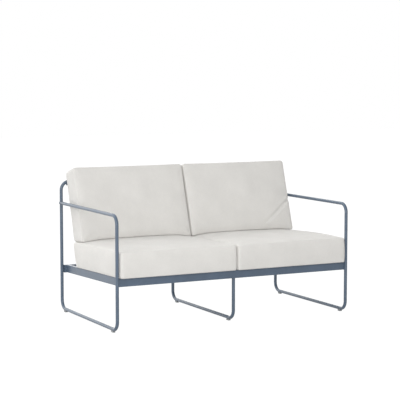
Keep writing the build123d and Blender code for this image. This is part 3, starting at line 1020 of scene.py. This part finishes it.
    def swollen(self, piece: bpy.types.Object, hold: np.ndarray) -> None:
        """Let the stuffing press the cloth out, then apply what the simulation gives.

        A move of length d becomes one of d * cap / (cap + d), so that no place swells past the
        cap.

        Args:
            piece: the cushion's mesh object.
            hold: how firmly each vertex is held, from 0 to 1.
        """
        group = piece.vertex_groups.new(name="held")
        for weight in np.unique(hold[hold > 0]):
            group.add(np.flatnonzero(hold == weight).tolist(), float(weight), "REPLACE")
        cloth = piece.modifiers.new("stuffing", "CLOTH")
        for key, value in STUFFING.items():
            setattr(cloth.settings, key, value)
        cloth.settings.vertex_group_mass = group.name
        cloth.settings.effector_weights.gravity = 0.0
        scene = bpy.context.scene
        cloth.point_cache.frame_start = 1
        cloth.point_cache.frame_end = self.swell_frames
        for step in range(1, self.swell_frames + 1):
            scene.frame_set(step)
        solved = piece.evaluated_get(bpy.context.evaluated_depsgraph_get())
        before = rows_of(piece.data)
        moved = rows_of(solved.data) - before
        piece.modifiers.remove(cloth)
        scene.frame_set(1)
        length = np.linalg.norm(moved, axis=1, keepdims=True)
        moved *= self.swell_cap / (self.swell_cap + length)
        piece.data.vertices.foreach_set("co", (before + moved).ravel())
        LOG.info("%s is pressed out by up to %.1f mm before the cap", piece.name, length.max() / MM)

    def raise_welts(self, mesh: bpy.types.Mesh, flat: np.ndarray) -> None:
        """Raise the two seams into soft welts, with a shallow groove on each side.

        Args:
            mesh: the cushion's mesh.
            flat: each vertex's place on the cut panels.
        """
        off_seam = self.off_seam(flat)
        groove = np.abs(off_seam - self.seam_lines[0]) < NEAR
        lift = np.where(off_seam < NEAR, self.welt, np.where(groove, -self.welt / 2, 0.0))
        places = rows_of(mesh) + rows_of(mesh, "normal") * lift[:, None]
        mesh.vertices.foreach_set("co", places.ravel())

    def settled(self, mesh: bpy.types.Mesh) -> None:
        """Keep the cloth off the slats, the frame's sides and the cushion next to it.

        Args:
            mesh: the cushion's mesh.
        """
        places = rows_of(mesh)
        side = np.sign(self.origin[0])
        outward = np.clip(places[:, 0] * side, self.split_limit, self.reach_limit)
        places[:, 0] = outward * side
        own = self.own(places)
        own[:, 2] = np.maximum(own[:, 2], 0.0)
        if self.rests_high:
            own[:, 1] = np.minimum(own[:, 1], self.depth + self.shear[1] * own[:, 2])
        else:
            own[:, 1] = np.maximum(own[:, 1], self.shear[0] * own[:, 2])
        mesh.vertices.foreach_set("co", self.packed(own).ravel())

    @staticmethod
    def map_panels(mesh: bpy.types.Mesh, corners: np.ndarray, axis: np.ndarray) -> None:
        """Lay each panel flat in a UV map, in metres.

        Args:
            mesh: the cushion's mesh.
            corners: the place on the cut panels of each face's corner.
            axis: for each corner, the axis that its panel is square to.
        """
        flat_axes = np.array([(1, 2), (0, 2), (0, 1)])[axis]
        uv = np.take_along_axis(corners, flat_axes, 1)
        mesh.uv_layers.new(name="panel").data.foreach_set("uv", uv.ravel())

    def build(self, seats: list[HeightField] | None = None) -> HeightField:
        """Make the cushion's cloth, let it swell, sew its seams and dress it.

        Args:
            seats: height fields of the seat cushions that it stands on, if it is a back one.

        Returns:
            The height field of its own face.
        """
        self.measure()
        flat, quads, sides = self.flat_box()
        name, body = f"{self.name}_cloth", f"{self.name}_cushion"
        piece = mesh_piece(name, self.shaped(flat), quads, Slot.CUSHION_FABRIC, body)
        self.map_panels(piece.data, flat[quads.ravel()], np.repeat(sides, 4))
        self.swollen(piece, self.hold(flat))
        self.settled(piece.data)
        if seats:
            self.settle_onto(piece.data, seats)
        face = self.face_height(piece.data, flat)
        piece.data.update()
        self.raise_welts(piece.data, flat)
        piece.data.update()
        smooth = piece.modifiers.new("smooth", "SUBSURF")
        smooth.levels = smooth.render_levels = 1
        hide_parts(f"{self.name}_cover")
        return face


@dataclass
class Frame:
    """The metal frame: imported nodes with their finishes, and the weld beads between them."""

    tube_radius: float = 9.5 * MM
    bead_radius: float = 1.6 * MM
    bead_pitch: float = 2.4 * MM
    bead_ripple: float = 0.15
    bead_tip: float = 0.15
    bead_sides: int = 8
    rings_a_pitch: int = 4
    least_rings: int = 6
    saddle_points: int = 121
    saddle_dip: float = 0.7
    rail_points: int = 12
    rail_end: float = 0.97
    slat_count: int = 6
    slat_inset: float = 3 * MM
    corner_inset: float = 2 * MM

    def dress(self, nodes: dict[str, bpy.types.Object], record: dict) -> None:
        """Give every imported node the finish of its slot.

        Args:
            nodes: node name to its object.
            record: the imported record.
        """
        slots = {slot.label: slot for slot in Slot}
        for part in record["subparts"]:
            mesh = nodes[part["node"]].data
            mesh.materials.clear()
            mesh.materials.append(slots[part["material_slot"]].value.material())

    def bead(self, path: np.ndarray, outward: np.ndarray) -> tuple[np.ndarray, np.ndarray]:
        """A weld bead: a round profile carried along a path, rippled by the torch's steps.

        The radius is 1 + ripple * sin(2 pi run / pitch) times the bead's, and tapers at the ends.

        Args:
            path: points along the joint.
            outward: for each point, a direction away from the joint.

        Returns:
            The bead's points and quads.
        """
        steps = np.linalg.norm(np.diff(path, axis=0), axis=1)
        run = np.append(0.0, np.cumsum(steps))
        count = max(self.least_rings, int(run[-1] / (self.bead_pitch / self.rings_a_pitch)))
        even = np.linspace(0, run[-1], count)
        path, outward = (
            np.stack([np.interp(even, run, rows[:, k]) for k in range(3)], 1)
            for rows in (path, outward)
        )
        tangent = unit_rows(np.gradient(path, axis=0))
        across = unit_rows(np.cross(tangent, outward))
        out = np.cross(across, tangent)
        to_end = np.minimum(even, run[-1] - even) / self.bead_pitch
        ripple = 1 + self.bead_ripple * np.sin(2 * np.pi * even / self.bead_pitch)
        radius = self.bead_radius * np.minimum(1, to_end + self.bead_tip) * ripple
        turn = np.linspace(0, 2 * np.pi, self.bead_sides, endpoint=False)
        cos, sin = ((radius[:, None] * wave(turn))[..., None] for wave in (np.cos, np.sin))
        rings = path[:, None] + out[:, None] * cos + across[:, None] * sin
        return rings.reshape(-1, 3), ring_faces(count, self.bead_sides)

    def arm_joint(self, side: str) -> Joint:
        """Path round the top of a rear leg where it meets the arm, a saddle of two cylinders.

        Args:
            side: left or right.

        Returns:
            The path and the directions away from the joint.
        """
        low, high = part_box(f"{side}_side_tube")
        centre = ((low.x + high.x) / 2, self.rear_leg_y(), high.z - self.tube_radius)
        turn = np.linspace(0, 2 * np.pi, self.saddle_points)
        radial = np.column_stack([np.cos(turn), np.sin(turn), np.zeros_like(turn)])
        saddle = radial.copy()
        saddle[:, 2] = -np.abs(np.sin(turn))
        return centre + self.tube_radius * saddle, radial - np.array([0, 0, self.saddle_dip])

    @staticmethod
    def rear_leg_y() -> float:
        """The axis of the rear legs, in the middle of the spigot."""
        low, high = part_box("left_back_spigot")
        return (low.y + high.y) / 2

    def rail_joint(self, rail: str, leg_y: float, side: float) -> Joint:
        """Path round a cross rail's end where it meets a leg: in, along the face, and out.

        Args:
            rail: the rail's node.
            leg_y: the leg's axis.
            side: -1 at the left leg, 1 at the right.

        Returns:
            The path and the directions away from the joint.
        """
        low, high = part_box(rail)
        leg_low, leg_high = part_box("right_side_tube" if side > 0 else "left_side_tube")
        leg_x = (leg_low.x + leg_high.x) / 2
        facing = 1.0 if low.y > leg_y else -1.0
        near = low.y if facing > 0 else high.y
        far = leg_y + facing * self.tube_radius * self.rail_end
        share = np.linspace(0, 1, self.rail_points)
        depth = np.concatenate([far + (near - far) * share, near + (far - near) * share])
        height = np.repeat([high.z, low.z], self.rail_points)
        reach = np.sqrt(np.maximum(self.tube_radius**2 - (depth - leg_y) ** 2, 0))
        path = np.column_stack([leg_x - side * reach, depth, height])
        middle = np.array([leg_x, leg_y + 2 * facing * self.tube_radius, (low.z + high.z) / 2])
        away = path - middle
        away[:, 0] = -side * self.tube_radius
        away[:, 1] = -facing * self.tube_radius
        return path, unit_rows(away)

    def build_welds(self) -> None:
        """Lay every bead and join them into one piece."""
        joints = [self.arm_joint(side) for side in ("left", "right")]
        low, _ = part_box("left_side_tube")
        front_leg_y = low.y + self.tube_radius
        for side in (-1.0, 1.0):
            joints.append(self.rail_joint("seat_front_rail", front_leg_y, side))
            joints.append(self.rail_joint("seat_rear_rail", self.rear_leg_y(), side))
        joints += self.slat_joints() + self.corner_joints()
        beads = [self.bead(*joint) for joint in joints]
        starts = np.cumsum([0] + [len(points) for points, _ in beads])
        points = np.concatenate([points for points, _ in beads])
        faces = np.concatenate([faces + start for (_, faces), start in zip(beads, starts)])
        mesh_piece("frame_welds", points, faces, Slot.FRAME_PAINT, "frame")

    def slat_joints(self) -> list[Joint]:
        """Straight beads under the ends of the seat slats, along the side rails.

        Returns:
            The joints' paths and directions.
        """
        joints = []
        inset = self.slat_inset
        for number in range(1, self.slat_count + 1):
            low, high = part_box(f"seat_slat_{number}")
            for x, inward in ((low.x, 1.0), (high.x, -1.0)):
                path = np.array([[x, low.y + inset, low.z], [x, high.y - inset, low.z]])
                joints.append((path, np.array([[inward, 0, -1.0]] * 2)))
        return joints

    def corner_joints(self) -> list[Joint]:
        """Upright beads where the side rails meet the cross rails, outside and inside.

        Returns:
            The joints' paths and directions.
        """
        joints = []
        inset = self.corner_inset
        front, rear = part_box("seat_front_rail"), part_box("seat_rear_rail")
        for side in ("left", "right"):
            low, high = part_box(f"seat_{side}_rail")
            for x, out in ((low.x, -1.0), (high.x, 1.0)):
                for (bottom, top), y, facing in ((front, low.y, 1.0), (rear, high.y, -1.0)):
                    path = np.array([[x, y, bottom.z + inset], [x, y, top.z - inset]])
                    joints.append((path, np.array([[out, facing, 0.0]] * 2)))
        return joints


@dataclass
class ZipCoil:
    """The teeth of one cushion's zip, laid over its packed coil."""

    cushion: Cushion
    coil_height: float = 1.4 * MM
    pitch: float = 1.8 * MM
    wire: float = 0.5 * MM
    lift: float = 0.15 * MM
    arch_power: float = 0.6
    steps: int = 8
    sides: int = 5

    def band_axes(self) -> tuple[np.ndarray, np.ndarray]:
        """Directions at the band that holds the zip.

        Returns:
            The band's outward normal and the direction across the zip.
        """
        _, up, out = self.cushion.axes()
        if self.cushion.rests_high:
            normal = up - self.cushion.shear[1] * out
        else:
            normal = self.cushion.shear[0] * out - up
        normal = normal / np.linalg.norm(normal)
        return normal, np.cross(np.array([1.0, 0.0, 0.0]), normal)

    def tooth(self, half: float, base: float) -> tuple[np.ndarray, np.ndarray, np.ndarray]:
        """One tooth: a small circle carried along an arch that bends over the coil.

        The arch runs from half to -half across the coil as cos(t), and rises as sin(t) ** power.

        Args:
            half: half the arch's span.
            base: height of the arch's feet.

        Returns:
            The places along the zip, across it and up, by step and side.
        """
        arch = np.linspace(0, np.pi, self.steps)
        ring = np.linspace(0, 2 * np.pi, self.sides, endpoint=False)
        rise = self.coil_height + self.lift - self.wire / 2
        path = np.stack([half * np.cos(arch), base + rise * np.sin(arch) ** self.arch_power], 1)
        tangent = unit_rows(np.gradient(path, axis=0))
        ring_side = self.wire / 2 * np.cos(ring)
        across = path[:, :1] - tangent[:, 1:] * ring_side
        up = path[:, 1:] + tangent[:, :1] * ring_side
        return self.wire / 2 * np.sin(ring), across, up

    def build(self) -> None:
        """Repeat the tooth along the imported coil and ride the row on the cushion."""
        name = self.cushion.name
        coil = rows_of(bpy.data.objects[f"{name}_zip"].data)
        normal, across = self.band_axes()
        top = (coil @ normal).max()
        crest = coil[coil @ normal > top - NEAR] @ across
        half = (crest.max() - crest.min()) / 2 + self.lift
        tooth_along, tooth_across, tooth_up = self.tooth(half, top - self.coil_height)
        first, last = coil[:, 0].min(), coil[:, 0].max()
        count = int((last - first) / self.pitch) - 1
        starts = (first + last) / 2 + (np.arange(count) - (count - 1) / 2) * self.pitch
        ways = {
            (1.0, 0.0, 0.0): starts[:, None, None] + tooth_along,
            tuple(across): (coil @ across).mean() + tooth_across,
            tuple(normal): tooth_up,
        }
        shape = (count, self.steps, self.sides)
        points = sum(
            np.broadcast_to(rows, shape)[..., None] * np.array(way) for way, rows in ways.items()
        )
        faces = ring_faces(self.steps, self.sides)
        first_of = np.arange(count)[:, None, None] * self.steps * self.sides
        faces = (faces + first_of).reshape(-1, 4)
        if not self.cushion.rests_high:
            faces = faces[:, ::-1]
        points = points.reshape(-1, 3)
        mesh_piece(f"{name}_zip_teeth", points, faces, Slot.ZIP_TAPE, f"{name}_cushion")


def make_cushions() -> list[Cushion]:
    """The four cushions, placed by the lean of the seat and of the back.

    Returns:
        Two seat cushions and two back cushions.
    """
    seat_fall, back_lean = np.radians(SEAT_FALL), np.radians(BACK_LEAN)
    seats = [
        Cushion(
            name=f"{side}_seat",
            lean=-seat_fall,
            shear=(0.0, float(np.tan(back_lean - seat_fall))),
            thickness=141 * MM,
            rests_high=True,
            fill=0.85,
            seed=seed,
        )
        for side, seed in (("left", 11), ("right", 12))
    ]
    fold = Crease(start=(0.35, -0.03), end=(0.13, -0.175))
    backs = [
        Cushion(
            name=f"{side}_back",
            lean=np.pi / 2 - back_lean,
            shear=(-float(np.tan(back_lean)), 0.0),
            thickness=126 * MM,
            cell=8 * MM,
            rests_high=False,
            fill=0.8,
            seed=seed,
            creases=creases,
        )
        for side, seed, creases in (("left", 21, []), ("right", 22, [fold]))
    ]
    return seats + backs


def main() -> None:
    """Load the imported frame, dress it, make the soft pieces and set up the studio."""
    logging.basicConfig(level=logging.INFO, format="%(name)s: %(message)s")
    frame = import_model()
    Studio().build()
    metal = Frame()
    metal.dress(frame["nodes"], frame["record"])
    metal.build_welds()
    seats = []
    for cushion in make_cushions():
        if cushion.rests_high:
            seats.append(cushion.build())
        else:
            cushion.build(seats)
        ZipCoil(cushion).build()
    bpy.context.view_layer.update()


if __name__ == "__main__":
    main()
